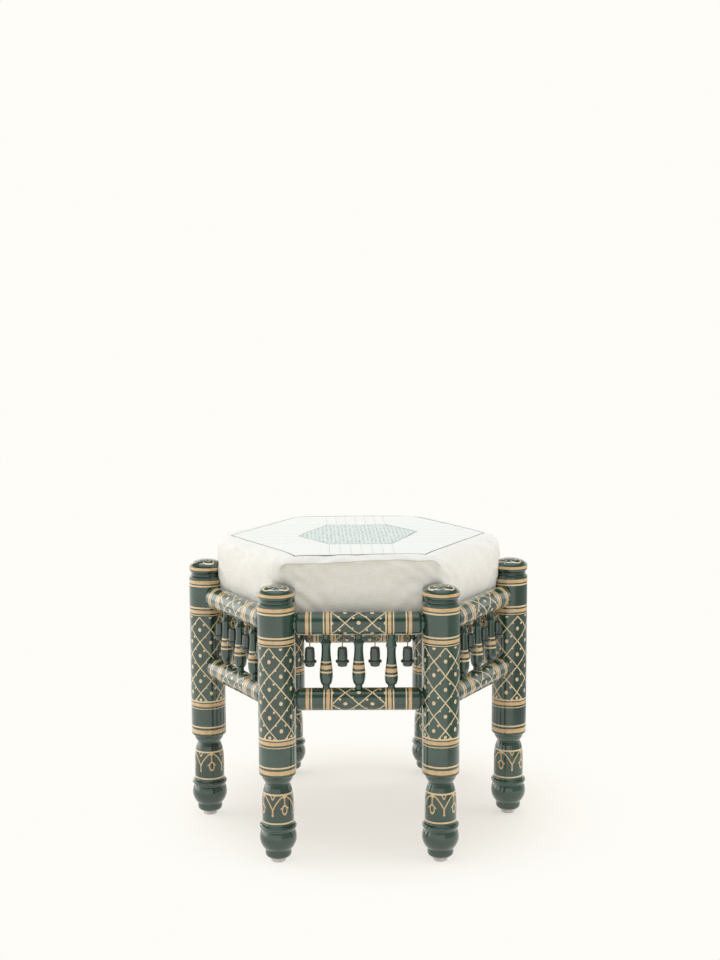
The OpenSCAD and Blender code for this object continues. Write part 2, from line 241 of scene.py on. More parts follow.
light = {
    "paper": colour(254, 253, 248),   # what the camera sees behind the stool
    "sky": 0.665,                     # strength of the even light from all round
    # What gloss shows of the studio: how bright or dark, and from where to where. A bearing is in
    # radians, 0 in front and positive to the right, and an upward look runs from 0 to 1.
    "ceiling": 0.22, "ceilingUp": (0.30, 0.55),       # the dark room above the white sweep
    "zenith": 0.9, "zenithUp": (0.78, 1.0),           # the light overhead
    "flag": 0.40, "flagFrom": (0.30, 0.55), "flagTo": (1.95, 1.6),        # the dark board
    "side": 1.1, "sideFrom": (-3.0, -2.6), "sideTo": (-1.1, -1.6), "sideUp": (0.62, 0.30),    # the white one
    "lamps": [                        # name, place, aimed at, width, height, watts, seen in gloss
        ("lampTop", (-0.1, 0.95, 2.25), (0, 0, 0.3), 1.8, 0.4, 9, True),
        ("lampOver", (0.0, -0.75, 2.4), (0, 0, 0.3), 1.2, 0.8, 8, False),
        ("lampLeft", (-2.4, 0.2, 1.0), (0, 0, 0.25), 2.6, 2.6, 31, False),
        ("lampRight", (2.4, -0.2, 0.9), (0, 0, 0.25), 1.8, 1.6, 17, False),
    ],
}


def seenDirectly(wire):               # camera, glossy and transmission rays see plain paper
    return high(*[wire.node("LightPath", {}, {}, out=k) for k in
                  ("Is Camera Ray", "Is Glossy Ray", "Is Transmission Ray")])


def seenInGloss(wire):
    return wire.node("LightPath", {}, {}, out="Is Glossy Ray")


def addLight():
    scene = bpy.context.scene
    scene.view_settings.view_transform = "Standard"
    world = bpy.data.worlds.new("studio")
    scene.world = world
    world.use_nodes = True
    world.node_tree.nodes.clear()
    w = Wire(world.node_tree)
    x, y, up = split(w.node("TexCoord", {}, {}, out="Generated"))
    bearing = calc("ARCTAN2", x, y * -1)
    board = ramp(bearing, *light["flagFrom"]) * ramp(bearing, *light["flagTo"]) * (1 - light["flag"])
    white = ramp(bearing, *light["sideFrom"]) * ramp(bearing, *light["sideTo"]) \
        * ramp(up, *light["sideUp"]) * light["side"]
    dark = high(ramp(up, *light["ceilingUp"]) * (1 - light["ceiling"]), board) \
        - ramp(up, *light["zenithUp"]) * light["zenith"]
    strength = 1 + (white - dark) * seenInGloss(w)
    sky = w.node("Background", {}, {"Color": (1, 1, 1, 1), "Strength": light["sky"]})
    paper = w.node("Background", {}, {"Color": light["paper"], "Strength": strength})
    output(w, w.node("MixShader", {}, {0: seenDirectly(w), 1: sky, 2: paper}), "World")
    for name, place, aim, width, height, watts, inGloss in light["lamps"]:
        data = bpy.data.lights.new(name, "AREA")
        data.shape, data.size, data.size_y, data.energy = "RECTANGLE", width, height, watts
        lamp = bpy.data.objects.new(name, data)
        scene.collection.objects.link(lamp)
        lamp.visible_glossy = inGloss
        lamp.location = place
        lamp.rotation_euler = (Vector(aim) - Vector(place)).to_track_quat("-Z", "Y").to_euler()


floorLook = {
    "radius": 14, "below": 0.0004,
    "shade": colour(251, 242, 226),   # the paper's tone where the stool's shadow falls
    # the shadow that the camera sees: its share, its middle, and its outer and inner reach
    "shadow": 0.45, "shadowMiddle": (0.03, 0.04), "shadowReach": (0.37, 0.15),
    # what gloss shows: the dark board's painted reflection, and painted shade on the paper round the feet
    "flagFrom": (0.46, 0.82), "flagTo": (2.75, 2.45), "flagReach": (0.50, 0.75),
    "paintedFeetShade": 0.18, "paintedFeetShadeReach": (0.62, 0.30),
}


def addFloor():
    f = floorLook
    clearSelection()
    bpy.ops.mesh.primitive_circle_add(vertices=96, radius=f["radius"], fill_type="NGON",
                                      location=(0, 0, -f["below"]))
    floor = bpy.context.object
    floor.name = "floor"
    made, w, place = material("floorPaper")
    x, y, z = split(place)
    middle = f["shadowMiddle"]
    near = ramp(reach(x - middle[0], y - middle[1]), *f["shadowReach"])
    bearing, far = calc("ARCTAN2", x, y * -1), reach(x, y)
    flag = ramp(bearing, *f["flagFrom"]) * ramp(bearing, *f["flagTo"]) * ramp(far, *f["flagReach"])
    # in gloss the paper glows less: the dark board's painted reflection, and painted shade round the feet
    dark = flag * (1 - light["flag"]) + ramp(far, *f["paintedFeetShadeReach"]) * f["paintedFeetShade"]
    cloth = w.node("BsdfDiffuse", {}, {"Color": f["shade"]})
    glow = w.node("Emission", {}, {"Color": light["paper"], "Strength": 1 - dark * seenInGloss(w)})
    output(w, w.node("MixShader", {}, {0: seenDirectly(w) * (1 - f["shadow"] * near), 1: cloth, 2: glow}))
    floor.data.materials.append(made)


# Painted lacquer

lacquer = {
    "green": colour(36, 72, 58), "deep": colour(26, 57, 45),
    "gold": colour(221, 187, 136), "ochre": colour(206, 169, 118),
    "cream": colour(230, 211, 170), "sand": colour(218, 194, 150),
    "roughness": 0.16, "paintRoughness": 0.3,
    "relief": 0.12 * mm, "ripple": 0.25 * mm, "grit": 0.012 * mm,     # of the paint and of the ground
    "coat": {"IOR": 1.6, "Coat Roughness": 0.05},
}


def lacquered(wire, made, place, thin, thick):
    # thin and thick are masks of the cream lines and of the gold bands
    cloud = grain(wire, place, 26.0, 3.0)
    fine = grain(wire, place, 420.0, 2.0)
    ground = mixed(ramp(cloud, 0.35, 0.65), lacquer["green"], lacquer["deep"])
    brush = ramp(grain(wire, place, 160.0, 3.0), 0.3, 0.7)
    gold = mixed(brush, lacquer["gold"], lacquer["ochre"])
    line = mixed(brush, lacquer["cream"], lacquer["sand"])
    painted = high(thin, thick)
    tone = mixed(thin, mixed(thick, ground, gold), line)
    rough = lacquer["roughness"] + painted * (lacquer["paintRoughness"] - lacquer["roughness"]) \
        + (cloud - 0.5) * 0.08
    height = painted * lacquer["relief"] + (fine - 0.5) * lacquer["grit"] + (cloud - 0.5) * lacquer["ripple"]
    shaded(wire, {"Base Color": tone, "Roughness": rough, "Normal": raised(wire, height)},
           {"Coat Weight": 1.0, **lacquer["coat"]})
    return made


def bands(value, rows):               # a mask of stripes: rows of (middle, width), in the value's unit
    rows = sorted(rows)
    start, end = rows[0][0] - rows[0][1], rows[-1][0] + rows[-1][1]
    span = end - start
    stops = [(0.0, (0, 0, 0, 1))]
    for middle, width in rows:
        stops.append(((middle - width / 2 - start) / span, (1, 1, 1, 1)))
        stops.append(((middle + width / 2 - start) / span, (0, 0, 0, 1)))
    level = (value - start) / span
    return value.node("ValToRGB", {"stops": stops, "interpolation": "CONSTANT"}, {0: level})


# in mm: half a line, a dot's radius in a diamond, and the radius and offset of a bud and a bead on a line
netLook = {"line": 0.75, "dot": 2.5, "bud": 1.5, "budOff": 2.5, "bead": 1.2, "beadOff": 1.1, "soft": 0.12}


def lattice(a, b, step, bud):
    # crossing lines where a and b are whole numbers; step is the millimetres from line to line
    n = netLook
    soft, budOff, beadOff = n["soft"], n["budOff"] / step, n["beadOff"] / step
    fa, fb = part(a), part(b)
    lines = high(within(abs(fa) * step, n["line"], soft), within(abs(fb) * step, n["line"], soft))
    ca, cb = part(a + 0.5), part(b + 0.5)
    dot = within(reach(ca, cb) * step, n["dot"], soft)
    if bud == "a":
        buds = within(reach(fa + budOff, cb) * step, n["bud"], soft)
        beads = within(reach(ca, fb - beadOff) * step, n["bead"], soft)
    else:
        buds = within(reach(ca, fb - budOff) * step, n["bud"], soft)
        beads = within(reach(fa - beadOff, cb) * step, n["bead"], soft)
    return high(lines, dot, buds, beads)


legLook = {
    # rings of paint, middle and width in mm above the floor
    "thick": [(352.4, 3.4), (334.6, 4.9), (293.2, 4.6), (161.5, 4.8), (122.8, 5.8)],
    "thin": [(328.9, 1.8), (298.4, 1.8), (288.4, 1.8), (166.4, 1.8), (156.4, 1.8),
             (129.6, 1.9), (93.0, 2.4), (55.6, 2.1)],
    # the net: its lowest and highest point, a diamond's height, how many go round, the lowest dots
    "net": (167.4, 286.9), "netStep": 36.0, "columns": 5, "lowestDot": 170.4, "lowestDotR": 2.0,
    # per leg, in degrees: where a column of crossings, a spray and a petal lie
    "net0": [3.5, 37.0, 61.0, 34.0, 249.5, 281.0],
    "spray0": [54.5, 65.0, 20.0, 14.5, 28.0, 55.0],
    "rosette0": [30.0, 80.0, 140.0, 200.0, 318.0, 312.0],
    # the rosette on the cap: where it starts, and how far its petals and its inner curls reach
    "rosetteZ": 354.8, "petal": 19.5, "curl": 12.0,
}

sprayLook = {
    # in mm, across from a spray's middle and down from the ring that it hangs on
    "round": 4, "radius": 19.0, "top": 91.8, "zone": (56.0, 92.5), "line": 0.8,
    "archDepth": 18.0, "archPower": 1.85, "archSlope": 2.2, "archEnd": 18.6,
    "stem": (16.5, 25.0), "stemHalf": 0.9, "knob": 25.3, "knobR": 1.4,     # below where two arches meet
    "notchWide": 2.2, "notchDeep": 5.0, "notchLean": 0.436, "notchAcross": 0.9, "notchHalf": 0.7,
    "stalk": 12.6, "loop": 18.0, "loopHalf": (3.0, 5.8), "loopScale": 3.6,
    "sprigFrom": (1.0, 12.8), "sprigAlong": (0.72, 0.69), "sprigLong": 6.0, "sprigHalf": 0.7,
    "knot": 1.0, "knotHalf": (2.6, 2.4), "knotScale": 2.5,
}


def sprays(turn, z, wobble):          # turn is in turns from a spray, z in mm above the floor
    p = sprayLook
    half = math.pi * p["radius"] / p["round"]
    across = abs(part(turn * p["round"]) * (2 * half)) + wobble * 0.8
    down = p["top"] - z + wobble
    bend = high(across, 0.0) / half
    slope = calc("SQRT", 1 + (p["archSlope"] * bend ** (p["archPower"] - 1)) ** 2)
    arch = abs(down - p["archDepth"] * bend ** p["archPower"]) / slope
    arches = within(arch, p["line"]) * (down < p["archEnd"])
    fromSide = half - across
    stem = within(abs(fromSide), p["stemHalf"]) * (down > p["stem"][0]) * (down < p["stem"][1])
    knob = within(reach(fromSide, down - p["knob"]), p["knobR"])
    fromNotch = abs(fromSide * p["notchAcross"] - p["notchWide"] + p["notchLean"] * down)
    notch = within(fromNotch, p["notchHalf"]) * (down < p["notchDeep"])
    stalk = within(across, p["line"]) * (down < p["stalk"])
    wide, tall = p["loopHalf"]
    loop = within(abs(reach(across / wide, (down - p["loop"]) / tall) - 1.0) * p["loopScale"], p["line"])
    dx, dy = across - p["sprigFrom"][0], down - p["sprigFrom"][1]
    outward, downward = p["sprigAlong"]
    along = dx * outward + dy * downward
    fromSprig = abs(dy * outward - dx * downward)
    sprig = within(fromSprig, p["sprigHalf"]) * (along > 0.0) * (along < p["sprigLong"])
    wide, tall = p["knotHalf"]
    knot = within(reach(across / wide, (down - p["knot"]) / tall) * p["knotScale"], tall)
    zone = low(z > p["zone"][0], z < p["zone"][1])
    return high(arches, stem, knob, notch, stalk, loop, sprig, knot) * zone


def paintLeg(index):
    g = legLook
    made, w, place = material("lacquer_" + legNames[index])
    at = math.radians(60 * index)
    x, y, z = split(moved(place, (stool["side"] * math.cos(at), stool["side"] * math.sin(at), 0)))
    z = z / mm
    angle = calc("ARCTAN2", y, x) / (2 * math.pi)          # turns
    wobble = grain(w, place, 30.0, 1.0) - 0.5
    up = z + wobble * 1.2
    thick, thin = bands(up, g["thick"]), bands(up, g["thin"])
    across = 2 * math.pi * stool["legR"] / mm / g["columns"]
    step = across * g["netStep"] / math.hypot(across, g["netStep"])
    u = (angle - g["net0"][index] / 360) * g["columns"]
    v = (z - g["net"][1]) / g["netStep"]
    sway = (grain(w, moved(place, (3, 1, 2)), 60.0, 1.0) - 0.5) * 0.09
    net = lattice(u + v + sway, u - v - sway, step, "a")
    inNet = low(z > g["net"][0], z < g["net"][1])
    lowest = within(reach(part(u) * across, z - g["lowestDot"] + wobble * 1.5), g["lowestDotR"])
    spray = sprays(angle - g["spray0"][index] / 360, z, wobble)
    flat = reach(x, y) / mm
    lobe = abs(calc("COSINE", (angle - g["rosette0"][index] / 360) * (4 * math.pi)))
    petal, curl = abs(flat - g["petal"] * lobe ** 0.45), abs(flat - g["curl"] * lobe ** 0.9)
    rosette = low(within(petal, 1.0) + within(curl, 0.8), 1.0) * (z > g["rosetteZ"])
    line = high(thin, high(net, lowest) * inNet, rosette)
    return lacquered(w, made, place, line, high(thick, spray))


railLook = {
    # rings of paint, in mm from the middle of a rail, and their widths
    "thick": [65.5, 39.3], "thin": [60.5, 44.2, 34.6], "thickWide": 4.3, "thinWide": 1.8,
    # the net: how far it runs, a diamond's length, and how many go round
    "net": 33.6, "netStep": 34.5, "round": 3, "upperR": 15.0, "lowerR": 14.5,
    # where the middle row of dots lies round a rail, in degrees up from outwards, per side
    "upper0": [20, -35, 55, -10, 13, 41], "lower0": [-20, 30, -48, 22, 47.6, -5],
}


def paintRail(index, level):
    g = railLook
    made, w, place = material("lacquer_" + level + "_" + sideNames[index])
    here = turned(place, math.radians(-(60 * index + 30)))
    outward, along, z = split(moved(here, (stool["railAxis"], 0, stool[level + "Z"])))
    turn = calc("ARCTAN2", z, outward) / (2 * math.pi)
    along = along / mm
    wobble = grain(w, place, 40.0, 1.0) - 0.5
    side = abs(along) + wobble * 0.7
    thick = bands(side, [(middle, g["thickWide"]) for middle in g["thick"]])
    thin = bands(side, [(middle, g["thinWide"]) for middle in g["thin"]])
    across = 2 * math.pi * g[level + "R"] / g["round"]
    step = across * g["netStep"] / math.hypot(across, g["netStep"])
    u = along / g["netStep"] + 0.5
    v = (turn - g[level + "0"][index] / 360) * g["round"]
    sway = (grain(w, moved(place, (2, 5, 1)), 60.0, 1.0) - 0.5) * 0.08
    net = lattice(u + v + sway, u - v - sway, step, "b")
    return lacquered(w, made, place, high(thin, net * (abs(along) < g["net"])), thick)


spindleLook = {
    "thick": [(258.1, 5.0)], "thin": [(264.6, 2.0), (251.6, 2.2)],      # rings, in mm above the floor
    # the right spindle in front is painted lower
    "lower": 4.6, "lowerFront": -0.15, "lowerRight": 0.025,
}


def paintSpindles():
    g = spindleLook
    made, w, place = material("lacquer_spindles")
    x, y, z = split(place)
    lowered = (y < g["lowerFront"]) * (x > g["lowerRight"])
    up = z / mm + (grain(w, place, 60.0, 1.0) - 0.5) + g["lower"] * lowered
    return lacquered(w, made, place, bands(up, g["thin"]), bands(up, g["thick"]))


bellLook = {
    "wireZ": 282.85,                  # mm above the floor, where the wood ends and the wire loop starts
    "green": colour(44, 64, 57), "deep": colour(34, 50, 45),
    "brass": colour(190, 168, 130), "tarnish": colour(112, 92, 70),
}


def paintBells():
    g = bellLook
    made, w, place = material("lacquer_bells")
    x, y, z = split(place)
    wire = z / mm > g["wireZ"]
    cloud = grain(w, place, 60.0, 3.0)
    tarnish = ramp(grain(w, place, 300.0, 3.0), 0.4, 0.7)
    green = mixed(ramp(cloud, 0.35, 0.65), g["green"], g["deep"])
    tone = mixed(wire, green, mixed(tarnish, g["brass"], g["tarnish"]))
    rough = 0.24 + wire * 0.1 + (cloud - 0.5) * 0.12
    shaded(w, {"Base Color": tone, "Roughness": rough, "Metallic": wire, "Coat Weight": 1 - wire,
               "Normal": raised(w, (cloud - 0.5) * 0.2 * mm)}, lacquer["coat"])
    return made


# plain finishes: two tones, the size of their clouds, roughness, relief and constant sockets
plain = {
    "brassWire": ((bellLook["brass"], bellLook["tarnish"]), 300.0, 0.34, 0.05 * mm, {"Metallic": 1.0}),
    "glidePlastic": ((colour(238, 228, 229), colour(224, 214, 216)), 90.0, 0.42, 0.06 * mm, {"IOR": 1.46}),
    "zincedSteel": ((colour(190, 190, 192), colour(150, 150, 156)), 220.0, 0.32, 0.04 * mm,
                    {"Metallic": 1.0}),
}


def paintPlain(name):
    tones, scale, rough, relief, constants = plain[name]
    made, w, place = material(name)
    cloud = grain(w, place, scale, 4.0, 0.6)
    shaded(w, {"Base Color": mixed(ramp(cloud, 0.35, 0.65), *tones), "Roughness": rough + (cloud - 0.5) * 0.2,
               "Normal": raised(w, (cloud - 0.5) * relief)}, constants)
    return made


ply = {"pale": colour(214, 182, 136), "dark": colour(186, 148, 102), "pore": colour(160, 122, 82)}


def paintPly():
    made, w, place = material("plywoodFace")
    fibre = grain(w, stretched(place, (1, 0.07, 1)), 260.0, 4.0, 0.6)
    waves = w.node("TexWave", {"wave_type": "RINGS", "rings_direction": "Y"},
                   {"Vector": stretched(place, (1, 0.1, 1)), "Scale": 9.0, "Distortion": 6.0,
                    "Detail": 2.0, "Detail Scale": 1.2})
    tone = mixed(ramp(fibre, 0.55, 0.75), mixed(ramp(waves, 0.2, 0.9), ply["pale"], ply["dark"]), ply["pore"])
    shaded(w, {"Base Color": tone, "Roughness": 0.62 + (fibre - 0.5) * 0.2,
               "Normal": raised(w, fibre * 0.08 * mm)}, {})
    return made


def dress(node, made):
    mesh = nodes[node].data
    if mesh.materials:
        for k in range(len(mesh.materials)):
            mesh.materials[k] = made
    else:
        mesh.materials.append(made)


def dressFrame():
    for i, name in enumerate(legNames):
        dress("leg_" + name, paintLeg(i))
    for i, name in enumerate(sideNames):
        dress("rail_upper_" + name, paintRail(i, "upper"))
        dress("rail_lower_" + name, paintRail(i, "lower"))
    spindles, bells = paintSpindles(), paintBells()
    for name in sideNames:
        dress("spindles_" + name, spindles)
        for k in range(1, 5):
            dress("bell_" + name + "_" + str(k), bells)
    dress("rail_eyes", paintPlain("brassWire"))
    dress("glides", paintPlain("glidePlastic"))
    steel = paintPlain("zincedSteel")
    dress("glide_nails", steel)
    dress("seat_staples", steel)
    dress("seat_board", paintPly())
    print("frame painted")


# Cushion

cushion = {
    "half": 7, "run": 30,             # steps along half a hollow, and along a straight side
    "apothem": 0.171465, "low": 0.32522, "height": 0.0725, "crown": 0.0012,
    # the top edge, how far in and how far down: along the sides, and at the corners
    "edgeSide": (0.018, 0.0060), "edgeCorner": (0.016, 0.013), "edgeChange": 8,       # steps between them
    "edgeBend": 1.5,                  # over 1 a side's edge is a slope with a fold below it
    "swell": 0.0042, "cornerRound": 0.048, "legGap": 0.0008,
    "fillFrom": 0.3520, "fillTo": 0.3695,         # heights between which a corner fills out over a cap
    "wallSteps": 16, "edgeSteps": 6, "lip": 0.021, "thick": 0.0012, "slack": 0.0015,
    "boardTop": 0.33902,
    "flatHexagon": 0.174,             # how far the points near the middle lie as if on a plain hexagon
    "start": 0.001,                   # how much smaller it starts, before it is blown up
    "press": 1.6, "mostMove": 0.002, "frames": 20, "creaseAngle": 50,
}
perSide = 2 * cushion["half"] + cushion["run"]
crest = cushion["low"] + cushion["height"] - cushion["crown"]


def outline(apothem, hollow, full):
    # one level as points round it: hollowed at the legs where full is 0, with round corners where it is 1
    side, axis, c = stool["side"], stool["railAxis"], cushion
    lift = axis - apothem
    turn = math.acos(min(lift / hollow, 1))
    radius = c["cornerRound"]
    start = []                        # from the middle of a hollow to where the straight side starts
    for k in range(c["half"] + 1):
        t = k / c["half"]
        a = math.pi / 6 + (turn - math.pi / 6) * t
        b = math.radians(-120 + 30 * t)
        cut = (-side / 2 + hollow * math.sin(a), hollow * math.cos(a) - axis)
        bulge = (radius * math.cos(b) - (apothem - radius) * math.tan(math.pi / 6),
                 radius * math.sin(b) - (apothem - radius))
        start.append((cut[0] + (bulge[0] - cut[0]) * full, cut[1] + (bulge[1] - cut[1]) * full))
    x, y = start[-1]
    points = start[:-1] + [(x - 2 * x * k / c["run"], y) for k in range(c["run"] + 1)] \
        + [(-x, y) for x, y in start[-2:0:-1]]
    turns = [math.radians(60 * i + 120) for i in range(6)]
    return [(x * math.cos(a) - y * math.sin(a), x * math.sin(a) + y * math.cos(a))
            for a in turns for x, y in points]


def smoothStep(a, b, t):
    t = min(max((t - a) / (b - a), 0), 1)
    return t * t * (3 - 2 * t)


def ringAt(out, z, full=0.0):
    c = cushion
    level = outline(c["apothem"] + out, stool["legR"] + c["legGap"] - out, full)
    return [Vector((x, y, z)) for x, y in level]


def sideAndCorner(level):
    # a ring whose top edge is tight along the sides and full at the corners
    side, corner = ringAt(*level(cushion["edgeSide"])), ringAt(*level(cushion["edgeCorner"]))
    half = cushion["half"]
    return [p.lerp(q, smoothStep(half + cushion["edgeChange"], half, min(j % perSide, perSide - j % perSide)))
            for j, (p, q) in enumerate(zip(side, corner))]


def cushionRings():
    c = cushion

    def fullAt(z):
        return smoothStep(c["fillFrom"], c["fillTo"], z)

    def onWall(t, edge):              # t runs up the wall, and the swell is widest a little over the middle
        z = c["low"] + t * (crest - edge[1] - c["low"])
        return (c["swell"] * math.sin(math.pi * (t * 0.78 + 0.02)) - c["start"] * t, z, fullAt(z))

    def onEdge(a, edge):
        out, z, full = onWall(1.0, edge)
        bend = c["edgeBend"] if edge is c["edgeSide"] else 1.0
        z += edge[1] * math.sin(a) ** bend
        return (out - edge[0] * (1 - max(math.cos(a), 0) ** bend), z, fullAt(z))

    rings = [sideAndCorner(lambda edge: onWall(k / c["wallSteps"], edge)) for k in range(c["wallSteps"] + 1)]
    rings += [sideAndCorner(lambda edge: onEdge(math.pi / 2 * k / c["edgeSteps"], edge))
              for k in range(1, c["edgeSteps"] + 1)]
    # under the board: the edge turned in, and the pocket that the board fills
    lipTop = c["low"] + c["thick"]
    under = [ringAt(-inset, z) for inset, z in
             [(c["lip"] / 3, c["low"]), (c["lip"] * 2 / 3, c["low"]), (c["lip"], c["low"]),
              (c["lip"], lipTop), (c["slack"], lipTop), (c["slack"], c["boardTop"])]]
    return rings, under


def flatHexagon():                    # a fan of triangles, with as many points along a side as a ring has
    clearSelection()
    bpy.ops.mesh.primitive_circle_add(vertices=6, radius=1, fill_type="TRIFAN", location=(0, 0, 0),
                                      rotation=(0, 0, -math.pi / 2))
    piece = bpy.context.object
    piece.name = piece.data.name = "cushion"
    bpy.ops.object.transform_apply(location=False, rotation=True, scale=False)
    bpy.ops.object.mode_set(mode="EDIT")
    bpy.ops.mesh.select_all(action="SELECT")
    bpy.ops.mesh.subdivide(number_cuts=perSide - 1)
    bpy.ops.object.mode_set(mode="OBJECT")
    return piece


def drawTop(shell, last):             # fits the flat hexagon into the last ring and crowns it
    c = cushion
    n = len(last)
    edgePoints = {}
    for v in shell.verts:
        x, y = v.co.x, v.co.y
        sector = math.floor(math.atan2(y, x) / (math.pi / 3) + 1e-6)
        mid = sector * math.pi / 3 + math.pi / 6
        f = (x * math.cos(mid) + y * math.sin(mid)) / math.cos(math.pi / 6)      # 0 centre to 1 edge
        t = (-x * math.sin(mid) + y * math.cos(mid)) / f + 0.5 if f > 1e-6 else 0.5
        place = (sector + t) / 6 % 1.0 * n
        k = int(place)
        edge = last[k % n].lerp(last[(k + 1) % n], place - k)
        a = Vector((math.cos(mid - math.pi / 6), math.sin(mid - math.pi / 6), 0))
        b = Vector((math.cos(mid + math.pi / 6), math.sin(mid + math.pi / 6), 0))
        straight = a.lerp(b, t) * c["flatHexagon"]
        flat = (straight * (1 - f ** 3) + Vector((edge.x, edge.y, 0)) * f ** 3) * f
        v.co = (flat.x, flat.y, last[0].z + c["crown"] * (1 - f * f))
        if f > 1 - 0.5 / perSide:
            edgePoints[round(place) % n] = v
    return [edgePoints[j] for j in range(n)]


def buildCushion():
    n = 6 * perSide
    rings, under = cushionRings()
    piece = flatHexagon()
    shell = bmesh.new()
    shell.from_mesh(piece.data)
    upper = drawTop(shell, rings[-1])
    uv = shell.loops.layers.uv.new("cloth")
    crease = shell.edges.layers.float.new("crease_edge")
    for face in shell.faces:
        for loop in face.loops:
            loop[uv].uv = loop.vert.co.xy
    held = {}
    measured = rings[6]               # the cloth's coordinate along the wall is taken on this ring
    along = [0.0]
    for j in range(n):
        along.append(along[-1] + (measured[(j + 1) % n] - measured[j]).length)
    height = 0.0
    for level, ring in enumerate(rings[-2::-1] + under):
        lower = [shell.verts.new(p) for p in ring]
        rise = (ring[n // 12] - upper[n // 12].co).length
        for j in range(n):
            k = (j + 1) % n
            face = shell.faces.new((lower[j], lower[k], upper[k], upper[j]))
            for loop, at in zip(face.loops, [(along[j], height - rise), (along[j + 1], height - rise),
                                             (along[j + 1], height), (along[j], height)]):
                loop[uv].uv = at
        below = level - (len(rings) - 2)          # 0 is the lowest ring of the wall
        for j in range(n):
            held[lower[j]] = 1.0 if below >= 0 else 0.5 if below == -1 else 0.0
            if below == 0 or below >= 3:
                shell.edges.get((lower[j], lower[(j + 1) % n]))[crease] = 0.5 if below == 0 else 1.0
        upper = lower
        height -= rise
    shell.verts.index_update()
    weights = [(v.index, w) for v, w in held.items() if w > 0]
    shell.to_mesh(piece.data)
    shell.free()
    group = piece.vertex_groups.new(name="held")
    for index, weight in weights:
        group.add([index], weight, "REPLACE")
    print("cushion laid out:", len(piece.data.vertices), "points")
    return piece


def inflate(piece):
    c, scene = cushion, bpy.context.scene
    start = [v.co.copy() for v in piece.data.vertices]
    cloth = piece.modifiers.new("cloth", "CLOTH")
    s = cloth.settings
    s.quality, s.mass, s.air_damping = 6, 0.3, 2.0
    s.tension_stiffness = s.compression_stiffness = 20
    s.shear_stiffness, s.bending_stiffness = 8, 0.6
    s.use_pressure, s.uniform_pressure_force = True, c["press"]
    s.shrink_min = -0.010
    s.effector_weights.gravity = 0
    s.vertex_group_mass = "held"
    cloth.point_cache.frame_start, cloth.point_cache.frame_end = 1, c["frames"]
    for frameNumber in range(1, c["frames"] + 1):
        scene.frame_set(frameNumber)
    makeActive(piece)
    bpy.ops.object.modifier_apply(modifier="cloth")
    scene.frame_set(1)
    most = 0.0
    for v, p in zip(piece.data.vertices, start):
        move = v.co - p
        far = move.length
        most = max(most, far)
        if far > 1e-7:
            v.co = p + move * (c["mostMove"] * math.tanh(far / c["mostMove"]) / far)
    print("cushion blown up, most movement", round(most / mm, 2), "mm before the cap")


def hexDistance(x, y):
    c, s = math.cos(math.pi / 6), 0.5
    return max(abs(y), abs(x * c + y * s), abs(x * c - y * s))


crumpled = {
    # The panel that each side shows under its fold: half its length, its round corners, how far down it
    # starts, how much that wavers, and how deep it lies. In front it is longer, deeper and to the right.
    "panelHalf": 0.080, "panelRound": 0.013, "panelTop": 0.0062, "panelDip": 0.0003,
    # how it wavers, in radians: for a metre along, at the start, and from side to side
    "waver": 0.0019, "wave": 26, "wavePhase": -1.29, "waveTurn": 2.3,
    "frontSector": -2, "frontHalf": 0.1030, "frontShift": 0.0025, "frontDip": 0.0014,
    "frontY": (-0.125, -0.145),       # where the sides give way to the front panel
    "dipZ": (0.352, 0.374), "shadeZ": (0.350, 0.372),        # where a panel's step fades out downwards
    "endsDown": (0.004, 0.016), "endsSoft": 8.0 * mm,        # its ends fade into the corners below the fold
    # puckers over the staples: how deep, how high, from staple to staple, and the first one
    "pucker": 0.0006, "puckerHigh": 0.013, "staplePitch": 0.024, "stapleShift": 0.012,
    # creases at the corners: how deep, how far from a leg and how wide; then lumps, large and small
    "cornerCrease": 0.0004, "creaseAt": 0.025, "creaseWide": 0.028,
    "lump": 0.0011, "lumpSize": (14, 14, 34), "wrinkle": 0.0004, "wrinkleScale": 3.1,
    # on the top: waves, grooves along the two hexagons' lines, and the inner hexagon's rise
    "topWave": 0.0006, "outerGroove": 0.0003, "innerGroove": 0.0004, "grooveWide": 0.0022,
    "innerRise": 0.0005, "innerRiseFrom": 0.060,
    "domeClear": 0.0246,              # how far the cloth stays from a leg's axis
}

embroidery = {
    "turn": 2.0,                      # degrees that it lies askew
    # in mm: half the width of each hexagon and of its line
    "outer": 150.7, "outerLine": 1.05, "inner": 71.9, "innerLine": 0.8,
    # each hexagon: how much longer it is from back to front, how far it lies to the front,
    # how its two slanting pairs of sides lean, and how much wider one pair lies, in mm
    "outerShape": (1.029, 0.0018, (0.5, 0.533), 0.0),
    "innerShape": (1.09, 0.007, (0.59, 0.41), 6.5),
    # ruled lines, in mm: from line to line, half a line's width, and how far they run
    "upRuled": 13.83, "upLine": 0.45, "upReach": 44.0, "acrossRuled": 24.0, "acrossLine": 0.8,
    "acrossReach": 75.0, "acrossFrom": 46.0,
    "columns": 5.4, "fleckHalf": 1.0,             # mm from column to column of stitches, and half a stitch
    "relief": 0.25 * mm,
    "ground": (colour(230, 232, 226), colour(238, 239, 234)), "ruledTone": colour(204, 211, 206),
    "aqua": (colour(222, 229, 225), colour(206, 217, 212)), "stitch": colour(148, 167, 160),
    "innerTone": colour(116, 138, 130), "outerTone": colour(98, 119, 110),
}

cotton = {
    "warp": (colour(229, 228, 222), colour(239, 239, 235)), "cloud": colour(223, 221, 211),
    "thread": 0.0009, "slubRelief": 0.5 * mm, "weaveRelief": 0.05 * mm,
    # painted shade: the front panel's cloth darker and warmer, and a darker line along its fold
    "paintedPanelShade": colour(206, 200, 182), "paintedFoldShade": colour(176, 166, 146),
    "fold": 0.55, "foldRelief": 0.5 * mm, "panelRelief": 0.9 * mm,
    "sheen": {"Sheen Weight": 0.15, "Sheen Roughness": 0.5, "Specular IOR Level": 0.3},
}


